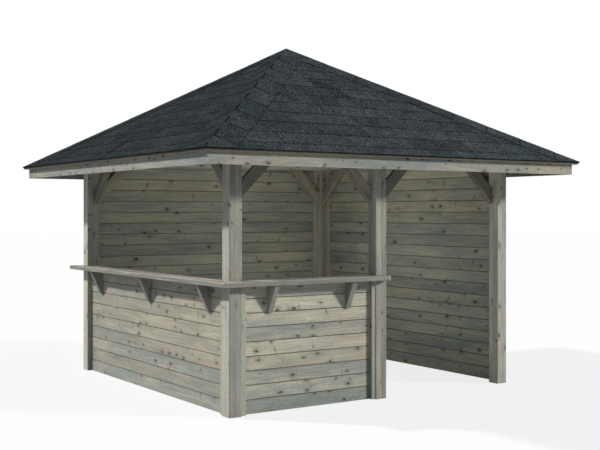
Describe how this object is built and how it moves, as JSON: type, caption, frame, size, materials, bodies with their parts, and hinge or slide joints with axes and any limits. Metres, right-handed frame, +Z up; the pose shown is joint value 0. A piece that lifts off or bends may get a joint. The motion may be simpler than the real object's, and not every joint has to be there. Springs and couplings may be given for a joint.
{
  "type": "wooden market hut",
  "caption": "Square timber-framed market hut with two closed board walls, two half walls with bracketed counters, an open doorway and a hipped shingle roof.",
  "frame": {"origin": "centre of the square plan, on the ground", "axes": "+Z up; the doorway and the short counter face -Y, the long counter faces -X, and the closed walls are at +X and +Y"},
  "size_m": [4.056, 4.056, 3.3045],
  "materials": {
    "post": "planed pine gone grey-green with weather",
    "frame_timber": "planed pine gone grey-brown, in shade",
    "wall_board": "weathered softwood boards with dark knots",
    "batten": "planed pine gone grey-green with weather",
    "counter": "planed pine gone pale grey",
    "bracket": "planed pine gone grey",
    "rafter": "planed pine, darkened",
    "fascia": "planed pine, pale beige and grey",
    "roof_board": "tongued softwood boards, brown",
    "shingle": "dark grey mineral granules on bitumen felt"
  },
  "bodies": {
    "root": {"front_left_post": "post", "front_right_post": "post", "rear_left_post": "post", "rear_right_post": "post", "door_post": "post", "front_beam": "frame_timber", "right_beam": "frame_timber", "rear_beam": "frame_timber", "left_beam": "frame_timber", "front_braces": "frame_timber", "right_braces": "frame_timber", "rear_braces": "frame_timber", "left_braces": "frame_timber", "right_wall": "wall_board", "rear_wall": "wall_board", "front_half_wall": "wall_board", "left_half_wall": "wall_board", "right_wall_battens": "batten", "rear_wall_battens": "batten", "front_cover_battens": "batten", "left_cover_batten": "batten", "front_counter": "counter", "left_counter": "counter", "front_brackets": "bracket", "left_brackets": "bracket", "front_rafters": "rafter", "right_rafters": "rafter", "rear_rafters": "rafter", "left_rafters": "rafter", "hip_rafters": "rafter", "king_block": "rafter", "front_fascia": "fascia", "right_fascia": "fascia", "rear_fascia": "fascia", "left_fascia": "fascia", "front_roof_boards": "roof_board", "right_roof_boards": "roof_board", "rear_roof_boards": "roof_board", "left_roof_boards": "roof_board", "front_shingles": "shingle", "right_shingles": "shingle", "rear_shingles": "shingle", "left_shingles": "shingle", "hip_caps": "shingle"}
  },
  "joints": []
}
